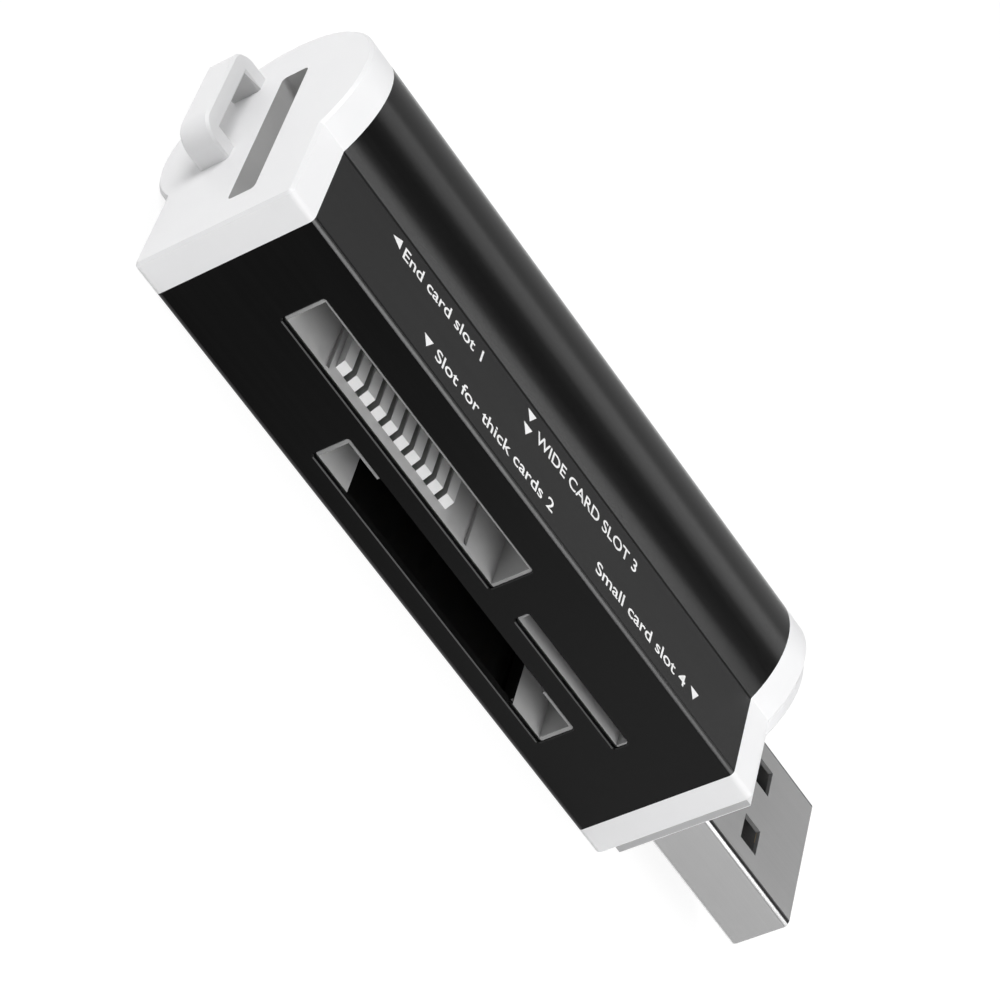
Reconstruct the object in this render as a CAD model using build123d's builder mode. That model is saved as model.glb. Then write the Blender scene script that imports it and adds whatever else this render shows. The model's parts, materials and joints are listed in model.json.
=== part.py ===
from build123d import *
from math import acos, atan2, cos, degrees, hypot, sin, sqrt
import os

# USB memory card reader, in millimetres.
# u runs along the case from the loop cap's seam to the plug, w goes from the slot face
# into the dome, and v points from the far side to the label side.

# Case section: a round dome on a straight stem, like a keyhole
DOME_RADIUS = 7.8
DOME_CENTRE = 12.45
STEM_WIDTH = 11.7
STEM_CORNER = 0.4
CASE_WALL = 0.7
SLOT_CORNER = 0.2
SLOT_BEVEL = 0.07
SLOT_FIT = 0.03

# End caps
LOOP_CAP_THICKNESS = 2.3
USB_CAP_THICKNESS = 2.25
CAP_EDGE = 0.2
CAP_FIT = 0.05
SKIRT_LENGTH = 3.0
SKIRT_WALL = 0.6
COLLAR_INSET = 0.9
COLLAR_HEIGHT = 1.12
COLLAR_EDGE = 0.15

# Lanyard loop: a flat staple that stands on the loop cap
LOOP_HEIGHT = 2.7
LOOP_LENGTH = 9.1
LOOP_WIDTH = 2.2
LOOP_LEG = 1.45
LOOP_BAR = 1.25
LOOP_CORNER = 1.5
LOOP_EDGE = 0.16
LOOP_W = 13.1
LOOP_V = -2.55

# Card slots, as the room for each card: the length is the wide way, the gap the thin way
WIDE_LENGTH = 24.07
WIDE_GAP = 2.26
STICK_LENGTH = 21.54
STICK_GAP = 2.82
SMALL_LENGTH = 11.05
SMALL_GAP = 0.8
END_LENGTH = 13.45
END_GAP = 2.0
END_CORNER = 0.35
END_SLOT_W = 2.75
STICK_START = 4.95
SLOT_SPACING = 2.99
WIDE_SETBACK = 2.58
USB_END_MARGIN = 4.95
SOCKET_REACH = 3.6

# Thin lips of the sockets that stand forward in the case's slots
LIP_SETBACK = 0.1
LIP_GAP = 0.2
LIP_CORNER = 0.17
FLOOR_LIP = 0.09
WIDE_SIDE_LIP = 0.28
WIDE_ROOF_LIP = 0.18
STICK_SIDE_LIP = 0.22
STICK_ROOF_LIP = 0.1
SMALL_SIDE_LIP = 0.12

# Moulded sockets and their folded covers
SOCKET_WALL = 0.45
SOCKET_BACK_WALL = 1.0
COVER_SHEET = 0.2
FAR_GAP = 0.2
WIDE_FLOOR = 1.08
WIDE_ROOF = 0.46
RAIL_WIDTH = 2.98
STICK_FLOOR = 0.59
SMALL_FLOOR = 0.63
END_FLOOR = 0.65
END_ROOF = 0.6
END_SOCKET_LENGTH = 4.1

# Comb in the stick card socket
TOOTH_COUNT = 10
TOOTH_PITCH = 1.2
TOOTH_WIDTH = 0.78
TOOTH_HEIGHT = 0.58
TOOTH_SETBACK = 1.04
TOOTH_SLOPE = 0.35
COMB_MARGIN = 0.42
COMB_OFFSET = -0.43
LEDGE_WIDTH = 2.9
POCKET_DEPTH = 0.28
POCKET_SETBACK = 0.36

# Contact strips
STRIP_THICKNESS = 0.12
STRIP_WIDTH = 0.5
STRIP_TAIL = 0.9
NOSE_RISE = 0.25
NOSE_RUN = 0.8
WIDE_CONTACT_COUNT = 9
WIDE_PITCH = 2.4
WIDE_BEAM = 7.0
WIDE_BEAM_DROP = 0.25
STICK_BEAM = 9.0
SMALL_CONTACT_COUNT = 8
SMALL_PITCH = 1.1
SMALL_BEAM = 7.0
END_CONTACT_COUNT = 11
END_PITCH = 1.1
END_BEAM = 2.2

# Circuit board in the guide groove of the dome
BOARD_THICKNESS = 0.8
BOARD_START = 0.4
BOARD_FRONT_GAP = 0.1
BOARD_FIT = 0.05
BOARD_BACK_GAP = 0.3
BOARD_SKIRT_GAP = 0.2
RIB_WIDTH = 0.8
RIB_GRIP = 1.1
RIB_CLEARANCE = 0.15

# Plug, to the common size of its kind
PLUG_WIDTH = 12.0
PLUG_THICKNESS = 4.5
PLUG_SHEET = 0.3
PLUG_BEND = 0.5
PLUG_REACH = 11.65
PLUG_INSIDE = 3.5
PLUG_FIT = 0.05
PLUG_MARGIN = 0.2
PLUG_W = 9.4
PLUG_TIP_BEVEL = 0.12
PLUG_SEAM = 0.1
WINDOW_WIDTH = 2.3
WINDOW_LENGTH = 1.8
WINDOW_PITCH = 5.75
WINDOW_FROM_TIP = 4.8
TONGUE_THICKNESS = 1.95
TONGUE_SIDE_GAP = 0.25
TONGUE_FROM_TIP = 0.7
TONGUE_BLOCK = 5.5
PIN_INNER = 1.0
PIN_OUTER = 3.5
PIN_WIDTH = 1.0
PIN_SHEET = 0.2
PIN_FROM_TIP = 2.4
PIN_LEAD = 1.0
PIN_RUN = 1.0
PIN_TAIL = 1.2

# Parts on the board
CHIP_LENGTH = 10.2
CHIP_WIDTH = 5.3
CHIP_HEIGHT = 1.6
CHIP_STANDOFF = 0.1
CHIP_SPAN = 7.8
CHIP_GAP = 0.4
CHIP_W = 9.5
SIDE_LEAD_COUNT = 14
LEAD_PITCH = 0.65
LEAD_WIDTH = 0.3
LEAD_SHEET = 0.15
LEAD_FOOT = 0.6
LEAD_LEVEL = 0.9
CRYSTAL_LENGTH = 3.2
CRYSTAL_WIDTH = 2.5
CRYSTAL_HEIGHT = 0.8
CRYSTAL_U = 2.6
CRYSTAL_LID_INSET = 0.2
CRYSTAL_LID = 0.2
REGULATOR_LENGTH = 2.9
REGULATOR_WIDTH = 1.3
REGULATOR_HEIGHT = 1.0
REGULATOR_SPAN = 2.4
REGULATOR_PITCH = 0.95
REGULATOR_LEAD = 0.4
REGULATOR_U = 7.6
PARTS_GAP = 0.5
CHIP_PART_LENGTH = 1.6
CHIP_PART_WIDTH = 0.8
CAPACITOR_HEIGHT = 0.8
CAPACITOR_COUNT = 5
CAPACITOR_PITCH = 2.5
RESISTOR_HEIGHT = 0.45
RESISTOR_COUNT = 5
RESISTOR_PITCH = 2.4
CHIP_PART_W = 9.0

# Stations along the case
STICK_END = STICK_START + STICK_LENGTH
SMALL_START = STICK_END + SLOT_SPACING
SMALL_END = SMALL_START + SMALL_LENGTH
WIDE_END = SMALL_END - WIDE_SETBACK
WIDE_START = WIDE_END - WIDE_LENGTH
BODY_LENGTH = SMALL_END + USB_END_MARGIN
USB_CAP_FACE = BODY_LENGTH + USB_CAP_THICKNESS
COLLAR_FACE = USB_CAP_FACE + COLLAR_HEIGHT
PLUG_TIP = COLLAR_FACE + PLUG_REACH
PLUG_REAR = BODY_LENGTH - PLUG_INSIDE
LOOP_TOP = -LOOP_CAP_THICKNESS - LOOP_HEIGHT

# Levels from the far wall to the label side
FAR_WALL = CASE_WALL - STEM_WIDTH / 2
WIDE_BOTTOM = FAR_WALL + FAR_GAP
WIDE_LOW = WIDE_BOTTOM + WIDE_FLOOR
WIDE_HIGH = WIDE_LOW + WIDE_GAP
BOARD_LOW = WIDE_HIGH + WIDE_ROOF
BOARD_TOP = BOARD_LOW + BOARD_THICKNESS
STICK_LOW = BOARD_TOP + STICK_FLOOR
STICK_HIGH = STICK_LOW + STICK_GAP
SMALL_LOW = BOARD_TOP + SMALL_FLOOR
SMALL_HIGH = SMALL_LOW + SMALL_GAP
END_LOW = BOARD_TOP + END_FLOOR
END_HIGH = END_LOW + END_GAP
PLUG_LOW = FAR_WALL + CAP_FIT + SKIRT_WALL + PLUG_MARGIN
PLUG_V = PLUG_LOW + PLUG_THICKNESS / 2

# Outsides of the lips on the slot face, from the low corner to the high corner
STICK_LIPS = (
    (STICK_START - STICK_SIDE_LIP, STICK_LOW - FLOOR_LIP),
    (STICK_END + STICK_SIDE_LIP, STICK_HIGH + STICK_ROOF_LIP),
)
WIDE_LIPS = (
    (WIDE_START - WIDE_SIDE_LIP, WIDE_LOW - FLOOR_LIP),
    (WIDE_END + WIDE_SIDE_LIP, WIDE_HIGH + WIDE_ROOF_LIP),
)
SMALL_LIPS = (
    (SMALL_START - SMALL_SIDE_LIP, SMALL_LOW - FLOOR_LIP),
    (SMALL_END + SMALL_SIDE_LIP, SMALL_HIGH),
)

# Depths from the slot face into the dome
DOME_BORE = DOME_RADIUS - CASE_WALL
SOCKET_BACK = DOME_CENTRE + SOCKET_REACH
CAVITY_BACK = SOCKET_BACK - SOCKET_BACK_WALL
END_SLOT_END = END_SLOT_W + END_LENGTH
BOARD_FRONT = CASE_WALL + BOARD_FRONT_GAP
BOARD_BACK = DOME_CENTRE + sqrt(DOME_BORE**2 - BOARD_LOW**2) - BOARD_BACK_GAP
RIB_START = BOARD_BACK - RIB_GRIP
SKIRT_OUTSIDE = CASE_WALL + CAP_FIT
SKIRT_INSIDE = SKIRT_OUTSIDE + SKIRT_WALL
RIB_LOW = BOARD_LOW - BOARD_FIT - RIB_WIDTH
RIB_HIGH = BOARD_TOP + BOARD_FIT + RIB_WIDTH
NOTCH_LOW = (RIB_START - RIB_CLEARANCE, RIB_LOW - RIB_CLEARANCE)
NOTCH_HIGH = (DOME_CENTRE + DOME_RADIUS, RIB_HIGH + RIB_CLEARANCE)
SMALL_PARTS_W = RIB_START - PARTS_GAP - CRYSTAL_WIDTH / 2
SMALL_BACK = SMALL_PARTS_W - CRYSTAL_WIDTH / 2 - PARTS_GAP - STRIP_TAIL
SMALL_CAVITY_BACK = SMALL_BACK - SOCKET_BACK_WALL

# The reader lies on its far side, on the dome and on the stem's corner
corner_to_dome = (DOME_CENTRE - STEM_CORNER, STEM_WIDTH / 2 - STEM_CORNER)
TILT = atan2(*corner_to_dome) - acos((DOME_RADIUS - STEM_CORNER) / hypot(*corner_to_dome))
ALONG = Vector(1, 0, 0)
DEPTH = Vector(0, cos(TILT), sin(TILT))
UP = Vector(0, -sin(TILT), cos(TILT))
front_reach = STEM_CORNER * (cos(TILT) - 1) - (STEM_WIDTH / 2 - STEM_CORNER) * sin(TILT)
back_reach = DOME_CENTRE * cos(TILT) + DOME_RADIUS
START = Vector(
    -(LOOP_TOP + PLUG_TIP) / 2,
    -(front_reach + back_reach) / 2,
    DOME_RADIUS - DOME_CENTRE * sin(TILT),
)


def point(u, w, v):
    return START + ALONG * u + DEPTH * w + UP * v


def across(u):
    """Plane across the case at a station: local x is w, local y is v."""
    return Plane(point(u, 0, 0), x_dir=DEPTH, z_dir=ALONG)


def face(w):
    """Plane along the slot face at a depth: local x is u, local y is v."""
    return Plane(point(0, w, 0), x_dir=ALONG, z_dir=-DEPTH)


def level(v):
    """Plane along the board at a level: local x is u, local y is w."""
    return Plane(point(0, 0, v), x_dir=ALONG, z_dir=UP)


def keyhole(u, inset, corner=0):
    """The case outline at a station, set in all round, with its two stem corners rounded."""
    with BuildSketch(across(u)) as outline:
        with Locations((DOME_CENTRE, 0)):
            Circle(DOME_RADIUS - inset)
        with Locations((inset, 0)):
            Rectangle(DOME_CENTRE - inset, STEM_WIDTH - 2 * inset, align=(Align.MIN, Align.CENTER))
        if corner:
            fillet(outline.vertices().sort_by(Axis.X)[:2], corner)
    return outline.sketch


def panel(plane, low, high, radius=0):
    """A rectangle on a plane from its low corner to its high corner."""
    with BuildSketch(plane) as outline:
        with Locations(((low[0] + high[0]) / 2, (low[1] + high[1]) / 2)):
            Rectangle(high[0] - low[0], high[1] - low[1])
        if radius:
            fillet(outline.vertices(), radius)
    return outline.sketch


def strip(plane, route, thickness):
    """The side view of a bent metal strip that follows a route of straight runs."""
    with BuildSketch(plane) as outline:
        with BuildLine():
            Polyline(*route)
        trace(line_width=thickness)
    return outline.sketch


def row(centre, count, pitch):
    """Evenly spaced places about a centre."""
    return [centre + (i - (count - 1) / 2) * pitch for i in range(count)]


# Case

with BuildPart() as body_shell:
    extrude(keyhole(0, 0, STEM_CORNER), amount=BODY_LENGTH)
    extrude(keyhole(0, CASE_WALL), amount=BODY_LENGTH, mode=Mode.SUBTRACT)
    for low, high in ((RIB_LOW, RIB_LOW + RIB_WIDTH), (RIB_HIGH - RIB_WIDTH, RIB_HIGH)):
        extrude(panel(across(0), (RIB_START, low), (DOME_CENTRE + DOME_BORE, high)), amount=BODY_LENGTH)
    for low, high in (STICK_LIPS, WIDE_LIPS, SMALL_LIPS):
        slot_low = (low[0] - SLOT_FIT, low[1] - LIP_GAP)
        slot_high = (high[0] + SLOT_FIT, high[1] + SLOT_FIT)
        slot = panel(face(0), slot_low, slot_high, SLOT_CORNER)
        extrude(slot, amount=-CASE_WALL, mode=Mode.SUBTRACT)
    slot_face = body_shell.faces().sort_by(Axis((0, 0, 0), tuple(DEPTH)))[0]
    chamfer([edge for wire in slot_face.inner_wires() for edge in wire.edges()], SLOT_BEVEL)

with BuildPart() as loop_cap:
    extrude(keyhole(-LOOP_CAP_THICKNESS, 0, STEM_CORNER), amount=LOOP_CAP_THICKNESS)
    chamfer(loop_cap.faces().sort_by(Axis.X)[0].edges(), CAP_EDGE)
    with BuildSketch(level(LOOP_V - LOOP_WIDTH / 2)) as staple:
        with Locations(((LOOP_TOP - LOOP_CAP_THICKNESS) / 2, LOOP_W)):
            Rectangle(LOOP_HEIGHT, LOOP_LENGTH)
        fillet(staple.vertices().sort_by(Axis.X)[:2], LOOP_CORNER)
        with Locations((LOOP_TOP + LOOP_BAR, LOOP_W)):
            Rectangle(
                LOOP_HEIGHT - LOOP_BAR,
                LOOP_LENGTH - 2 * LOOP_LEG,
                align=(Align.MIN, Align.CENTER),
                mode=Mode.SUBTRACT,
            )
    extrude(amount=LOOP_WIDTH)
    loop_sides = loop_cap.faces().filter_by(level(0)).sort_by(Axis.X)[:2]
    seat_x = point(-LOOP_CAP_THICKNESS, 0, 0).X
    chamfer([edge for edge in loop_sides.edges() if edge.center().X < seat_x - LOOP_EDGE], LOOP_EDGE)
    end_slot = panel(
        across(-LOOP_CAP_THICKNESS), (END_SLOT_W, END_LOW), (END_SLOT_END, END_HIGH), END_CORNER
    )
    extrude(end_slot, amount=LOOP_CAP_THICKNESS, mode=Mode.SUBTRACT)
    extrude(keyhole(0, SKIRT_OUTSIDE), amount=SKIRT_LENGTH)
    extrude(keyhole(0, SKIRT_INSIDE), amount=SKIRT_LENGTH, mode=Mode.SUBTRACT)
    extrude(panel(across(0), NOTCH_LOW, NOTCH_HIGH), amount=SKIRT_LENGTH, mode=Mode.SUBTRACT)

with BuildPart() as usb_cap:
    extrude(keyhole(BODY_LENGTH, 0, STEM_CORNER), amount=USB_CAP_THICKNESS)
    chamfer(usb_cap.faces().sort_by(Axis.X)[-1].edges(), CAP_EDGE)
    extrude(keyhole(USB_CAP_FACE, COLLAR_INSET), amount=COLLAR_HEIGHT)
    chamfer(usb_cap.faces().sort_by(Axis.X)[-1].edges(), COLLAR_EDGE)
    extrude(keyhole(BODY_LENGTH, SKIRT_OUTSIDE), amount=-SKIRT_LENGTH)
    extrude(keyhole(BODY_LENGTH, SKIRT_INSIDE), amount=-SKIRT_LENGTH, mode=Mode.SUBTRACT)
    extrude(panel(across(BODY_LENGTH), NOTCH_LOW, NOTCH_HIGH), amount=-SKIRT_LENGTH, mode=Mode.SUBTRACT)
    with BuildSketch(across(BODY_LENGTH)):
        with Locations((PLUG_W, PLUG_V)):
            RectangleRounded(PLUG_WIDTH + 2 * PLUG_FIT, PLUG_THICKNESS + 2 * PLUG_FIT, PLUG_BEND + PLUG_FIT)
    extrude(amount=USB_CAP_THICKNESS + COLLAR_HEIGHT, mode=Mode.SUBTRACT)

# Plug

with BuildPart() as usb_plug_shell:
    with BuildSketch(across(PLUG_REAR)):
        with Locations((PLUG_W, PLUG_V)):
            RectangleRounded(PLUG_WIDTH, PLUG_THICKNESS, PLUG_BEND)
    extrude(amount=PLUG_TIP - PLUG_REAR)
    chamfer(usb_plug_shell.faces().sort_by(Axis.X)[-1].edges(), PLUG_TIP_BEVEL)
    with BuildSketch(across(PLUG_REAR)):
        with Locations((PLUG_W, PLUG_V)):
            RectangleRounded(
                PLUG_WIDTH - 2 * PLUG_SHEET, PLUG_THICKNESS - 2 * PLUG_SHEET, PLUG_BEND - PLUG_SHEET
            )
    extrude(amount=PLUG_TIP - PLUG_REAR, mode=Mode.SUBTRACT)
    with BuildSketch(level(PLUG_LOW)):
        with Locations((PLUG_TIP - WINDOW_FROM_TIP - WINDOW_LENGTH / 2, PLUG_W)):
            with GridLocations(0, WINDOW_PITCH, 1, 2):
                Rectangle(WINDOW_LENGTH, WINDOW_WIDTH)
    extrude(amount=PLUG_THICKNESS, mode=Mode.SUBTRACT)
    seam_low = (PLUG_REAR, PLUG_W - PLUG_SEAM / 2)
    seam_high = (PLUG_TIP, PLUG_W + PLUG_SEAM / 2)
    extrude(panel(level(PLUG_LOW), seam_low, seam_high), amount=PLUG_SHEET, mode=Mode.SUBTRACT)

PIN_V = PLUG_LOW + PLUG_SHEET + TONGUE_THICKNESS - PIN_SHEET / 2
with BuildPart() as usb_plug_contacts:
    tail_v = BOARD_LOW - PIN_SHEET / 2
    for place, lead in ((-PIN_OUTER, PIN_LEAD), (-PIN_INNER, 0), (PIN_INNER, 0), (PIN_OUTER, PIN_LEAD)):
        route = (
            (PLUG_TIP - PIN_FROM_TIP + lead, PIN_V),
            (PLUG_REAR - PIN_RUN, PIN_V),
            (PLUG_REAR - PIN_RUN, tail_v),
            (PLUG_REAR - PIN_RUN - PIN_TAIL, tail_v),
        )
        extrude(strip(face(PLUG_W + place - PIN_WIDTH / 2), route, PIN_SHEET), amount=-PIN_WIDTH)

with BuildPart() as usb_plug_tongue:
    side = PLUG_WIDTH / 2 - PLUG_SHEET - TONGUE_SIDE_GAP
    floor = PLUG_LOW + PLUG_SHEET
    roof = PLUG_LOW + PLUG_THICKNESS - PLUG_SHEET
    block = panel(across(PLUG_REAR), (PLUG_W - side, floor), (PLUG_W + side, roof))
    extrude(block, amount=TONGUE_BLOCK)
    blade = panel(across(PLUG_REAR), (PLUG_W - side, floor), (PLUG_W + side, floor + TONGUE_THICKNESS))
    extrude(blade, amount=PLUG_TIP - TONGUE_FROM_TIP - PLUG_REAR)
    add(usb_plug_contacts.part, mode=Mode.SUBTRACT)

# Circuit board

with BuildPart() as circuit_board:
    board_end = PLUG_REAR - BOARD_SKIRT_GAP
    neck_end = SKIRT_LENGTH + BOARD_SKIRT_GAP
    main = panel(level(BOARD_LOW), (neck_end, BOARD_FRONT), (board_end, BOARD_BACK))
    extrude(main, amount=BOARD_THICKNESS)
    neck_low = (BOARD_START, SKIRT_INSIDE + BOARD_SKIRT_GAP)
    extrude(panel(level(BOARD_LOW), neck_low, (neck_end, RIB_START)), amount=BOARD_THICKNESS)

CHIP_U = WIDE_START - SOCKET_WALL - CHIP_GAP - CHIP_SPAN / 2
RESISTOR_U = CHIP_U - CHIP_SPAN / 2 - PARTS_GAP - CHIP_PART_WIDTH / 2

with BuildPart() as controller_chip:
    with BuildSketch(level(BOARD_LOW - CHIP_STANDOFF)):
        with Locations((CHIP_U, CHIP_W)):
            Rectangle(CHIP_WIDTH, CHIP_LENGTH)
    extrude(amount=-CHIP_HEIGHT)
    foot_v = BOARD_LOW - LEAD_SHEET / 2
    shoulder_v = BOARD_LOW - LEAD_LEVEL
    for w in row(CHIP_W, SIDE_LEAD_COUNT, LEAD_PITCH):
        for side in (-1, 1):
            route = (
                (CHIP_U + side * CHIP_SPAN / 2, foot_v),
                (CHIP_U + side * (CHIP_SPAN / 2 - LEAD_FOOT), foot_v),
                (CHIP_U + side * (CHIP_SPAN / 2 - LEAD_FOOT), shoulder_v),
                (CHIP_U + side * CHIP_WIDTH / 2, shoulder_v),
            )
            extrude(strip(face(w - LEAD_WIDTH / 2), route, LEAD_SHEET), amount=-LEAD_WIDTH)

with BuildPart() as crystal:
    with BuildSketch(level(BOARD_TOP)):
        with Locations((SMALL_START + CRYSTAL_U, SMALL_PARTS_W)):
            Rectangle(CRYSTAL_LENGTH, CRYSTAL_WIDTH)
    extrude(amount=CRYSTAL_HEIGHT - CRYSTAL_LID)
    with BuildSketch(level(BOARD_TOP + CRYSTAL_HEIGHT - CRYSTAL_LID)):
        with Locations((SMALL_START + CRYSTAL_U, SMALL_PARTS_W)):
            Rectangle(CRYSTAL_LENGTH - 2 * CRYSTAL_LID_INSET, CRYSTAL_WIDTH - 2 * CRYSTAL_LID_INSET)
    extrude(amount=CRYSTAL_LID)

with BuildPart() as voltage_regulator:
    with BuildSketch(level(BOARD_TOP)):
        with Locations((SMALL_START + REGULATOR_U, SMALL_PARTS_W)):
            Rectangle(REGULATOR_LENGTH, REGULATOR_WIDTH)
    extrude(amount=REGULATOR_HEIGHT)
    lead_reach = (REGULATOR_SPAN - REGULATOR_WIDTH) / 2
    lead_w = (REGULATOR_SPAN + REGULATOR_WIDTH) / 4
    with BuildSketch(level(BOARD_TOP)):
        with Locations((SMALL_START + REGULATOR_U, SMALL_PARTS_W)):
            with Locations((-REGULATOR_PITCH, -lead_w), (REGULATOR_PITCH, -lead_w), (0, lead_w)):
                Rectangle(REGULATOR_LEAD, lead_reach)
    extrude(amount=LEAD_SHEET)

with BuildPart() as chip_capacitors:
    with BuildSketch(level(BOARD_TOP)):
        with Locations(((STICK_END + SMALL_START) / 2, CHIP_PART_W)):
            with GridLocations(0, CAPACITOR_PITCH, 1, CAPACITOR_COUNT):
                Rectangle(CHIP_PART_WIDTH, CHIP_PART_LENGTH)
    extrude(amount=CAPACITOR_HEIGHT)

with BuildPart() as chip_resistors:
    with BuildSketch(level(BOARD_LOW)):
        with Locations((RESISTOR_U, CHIP_PART_W)):
            with GridLocations(0, RESISTOR_PITCH, 1, RESISTOR_COUNT):
                Rectangle(CHIP_PART_WIDTH, CHIP_PART_LENGTH)
    extrude(amount=-RESISTOR_HEIGHT)

# Wide card socket: two guide rails with lips, joined by a back wall and open in the middle

with BuildPart() as wide_card_contacts:
    beam_v = WIDE_HIGH - WIDE_BEAM_DROP
    tail_v = BOARD_LOW - STRIP_THICKNESS / 2
    for u in row((WIDE_START + WIDE_END) / 2, WIDE_CONTACT_COUNT, WIDE_PITCH):
        route = (
            (CAVITY_BACK - WIDE_BEAM - 2 * NOSE_RUN, beam_v),
            (CAVITY_BACK - WIDE_BEAM - NOSE_RUN, beam_v - NOSE_RISE),
            (CAVITY_BACK - WIDE_BEAM, beam_v),
            (SOCKET_BACK + STRIP_THICKNESS / 2, beam_v),
            (SOCKET_BACK + STRIP_THICKNESS / 2, tail_v),
            (SOCKET_BACK + STRIP_TAIL, tail_v),
        )
        extrude(strip(across(u - STRIP_WIDTH / 2), route, STRIP_THICKNESS), amount=STRIP_WIDTH)

with BuildPart() as wide_card_socket:
    outside = panel(
        face(CASE_WALL), (WIDE_START - SOCKET_WALL, WIDE_BOTTOM), (WIDE_END + SOCKET_WALL, BOARD_LOW)
    )
    extrude(outside, amount=CASE_WALL - SOCKET_BACK)
    extrude(panel(face(LIP_SETBACK), *WIDE_LIPS, LIP_CORNER), amount=LIP_SETBACK - CASE_WALL)
    cavity = panel(face(LIP_SETBACK), (WIDE_START, WIDE_LOW), (WIDE_END, WIDE_HIGH))
    extrude(cavity, amount=LIP_SETBACK - CAVITY_BACK, mode=Mode.SUBTRACT)
    opening_low = (WIDE_START + RAIL_WIDTH, LIP_SETBACK)
    opening_high = (WIDE_END - RAIL_WIDTH, CAVITY_BACK)
    extrude(panel(level(WIDE_BOTTOM), opening_low, opening_high), amount=WIDE_FLOOR, mode=Mode.SUBTRACT)
    roof_end = (WIDE_END - RAIL_WIDTH, CASE_WALL)
    extrude(panel(level(WIDE_HIGH), opening_low, roof_end), amount=WIDE_ROOF_LIP, mode=Mode.SUBTRACT)
    add(wide_card_contacts.part, mode=Mode.SUBTRACT)

# Stick card socket: a tray with the comb on its floor, under a folded cover

COMB_CENTRE = (STICK_START + STICK_END) / 2 + COMB_OFFSET
COMB_WIDTH = (TOOTH_COUNT - 1) * TOOTH_PITCH + TOOTH_WIDTH + 2 * COMB_MARGIN
TOOTH_TOP = STICK_LOW + TOOTH_HEIGHT

with BuildPart() as stick_card_contacts:
    beam_v = TOOTH_TOP + STRIP_THICKNESS / 2
    tail_v = BOARD_TOP + STRIP_THICKNESS / 2
    for u in row(COMB_CENTRE, TOOTH_COUNT, TOOTH_PITCH):
        route = (
            (CAVITY_BACK - STICK_BEAM - 2 * NOSE_RUN, beam_v),
            (CAVITY_BACK - STICK_BEAM - NOSE_RUN, beam_v + NOSE_RISE),
            (CAVITY_BACK - STICK_BEAM, beam_v),
            (SOCKET_BACK + STRIP_THICKNESS / 2, beam_v),
            (SOCKET_BACK + STRIP_THICKNESS / 2, tail_v),
            (SOCKET_BACK + STRIP_TAIL, tail_v),
        )
        extrude(strip(across(u - STRIP_WIDTH / 2), route, STRIP_THICKNESS), amount=STRIP_WIDTH)

with BuildPart() as stick_card_socket:
    outside = panel(
        face(CASE_WALL), (STICK_START - SOCKET_WALL, BOARD_TOP), (STICK_END + SOCKET_WALL, STICK_HIGH)
    )
    extrude(outside, amount=CASE_WALL - SOCKET_BACK)
    extrude(panel(face(LIP_SETBACK), *STICK_LIPS, LIP_CORNER), amount=LIP_SETBACK - CASE_WALL)
    cavity = panel(face(LIP_SETBACK), (STICK_START, STICK_LOW), (STICK_END, STICK_HIGH))
    extrude(cavity, amount=LIP_SETBACK - CAVITY_BACK, mode=Mode.SUBTRACT)
    pocket_front = LIP_SETBACK + POCKET_SETBACK
    for low, high in (
        (STICK_START + LEDGE_WIDTH, COMB_CENTRE - COMB_WIDTH / 2),
        (COMB_CENTRE + COMB_WIDTH / 2, STICK_END - LEDGE_WIDTH),
    ):
        pocket = panel(level(STICK_LOW), (low, pocket_front), (high, CAVITY_BACK))
        extrude(pocket, amount=-POCKET_DEPTH, mode=Mode.SUBTRACT)
    tooth_front = LIP_SETBACK + TOOTH_SETBACK
    for u in row(COMB_CENTRE, TOOTH_COUNT, TOOTH_PITCH):
        with BuildSketch(across(u - TOOTH_WIDTH / 2)):
            with BuildLine():
                Polyline(
                    (tooth_front, STICK_LOW),
                    (tooth_front + TOOTH_SLOPE, TOOTH_TOP),
                    (CAVITY_BACK, TOOTH_TOP),
                    (CAVITY_BACK, STICK_LOW),
                    close=True,
                )
            make_face()
        extrude(amount=TOOTH_WIDTH)
    gap_half = (TOOTH_PITCH - TOOTH_WIDTH) / 2
    for u in row(COMB_CENTRE, TOOTH_COUNT - 1, TOOTH_PITCH):
        gap = panel(level(BOARD_TOP), (u - gap_half, tooth_front), (u + gap_half, CAVITY_BACK))
        extrude(gap, amount=STICK_FLOOR, mode=Mode.SUBTRACT)
    add(stick_card_contacts.part, mode=Mode.SUBTRACT)


def folded_cover(start, end, roof):
    """Side view of a cover over a tray: a flat roof with a flange down each side to the board."""
    with BuildSketch(face(CASE_WALL)) as outline:
        with Locations(((start + end) / 2, BOARD_TOP)):
            Rectangle(
                end - start + 2 * (SOCKET_WALL + COVER_SHEET),
                roof + COVER_SHEET - BOARD_TOP,
                align=(Align.CENTER, Align.MIN),
            )
            Rectangle(
                end - start + 2 * SOCKET_WALL,
                roof - BOARD_TOP,
                align=(Align.CENTER, Align.MIN),
                mode=Mode.SUBTRACT,
            )
    return outline.sketch


with BuildPart() as stick_card_cover:
    extrude(folded_cover(STICK_START, STICK_END, STICK_HIGH), amount=CASE_WALL - SOCKET_BACK)

# Small card socket: a shallow tray under a folded cover

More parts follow.
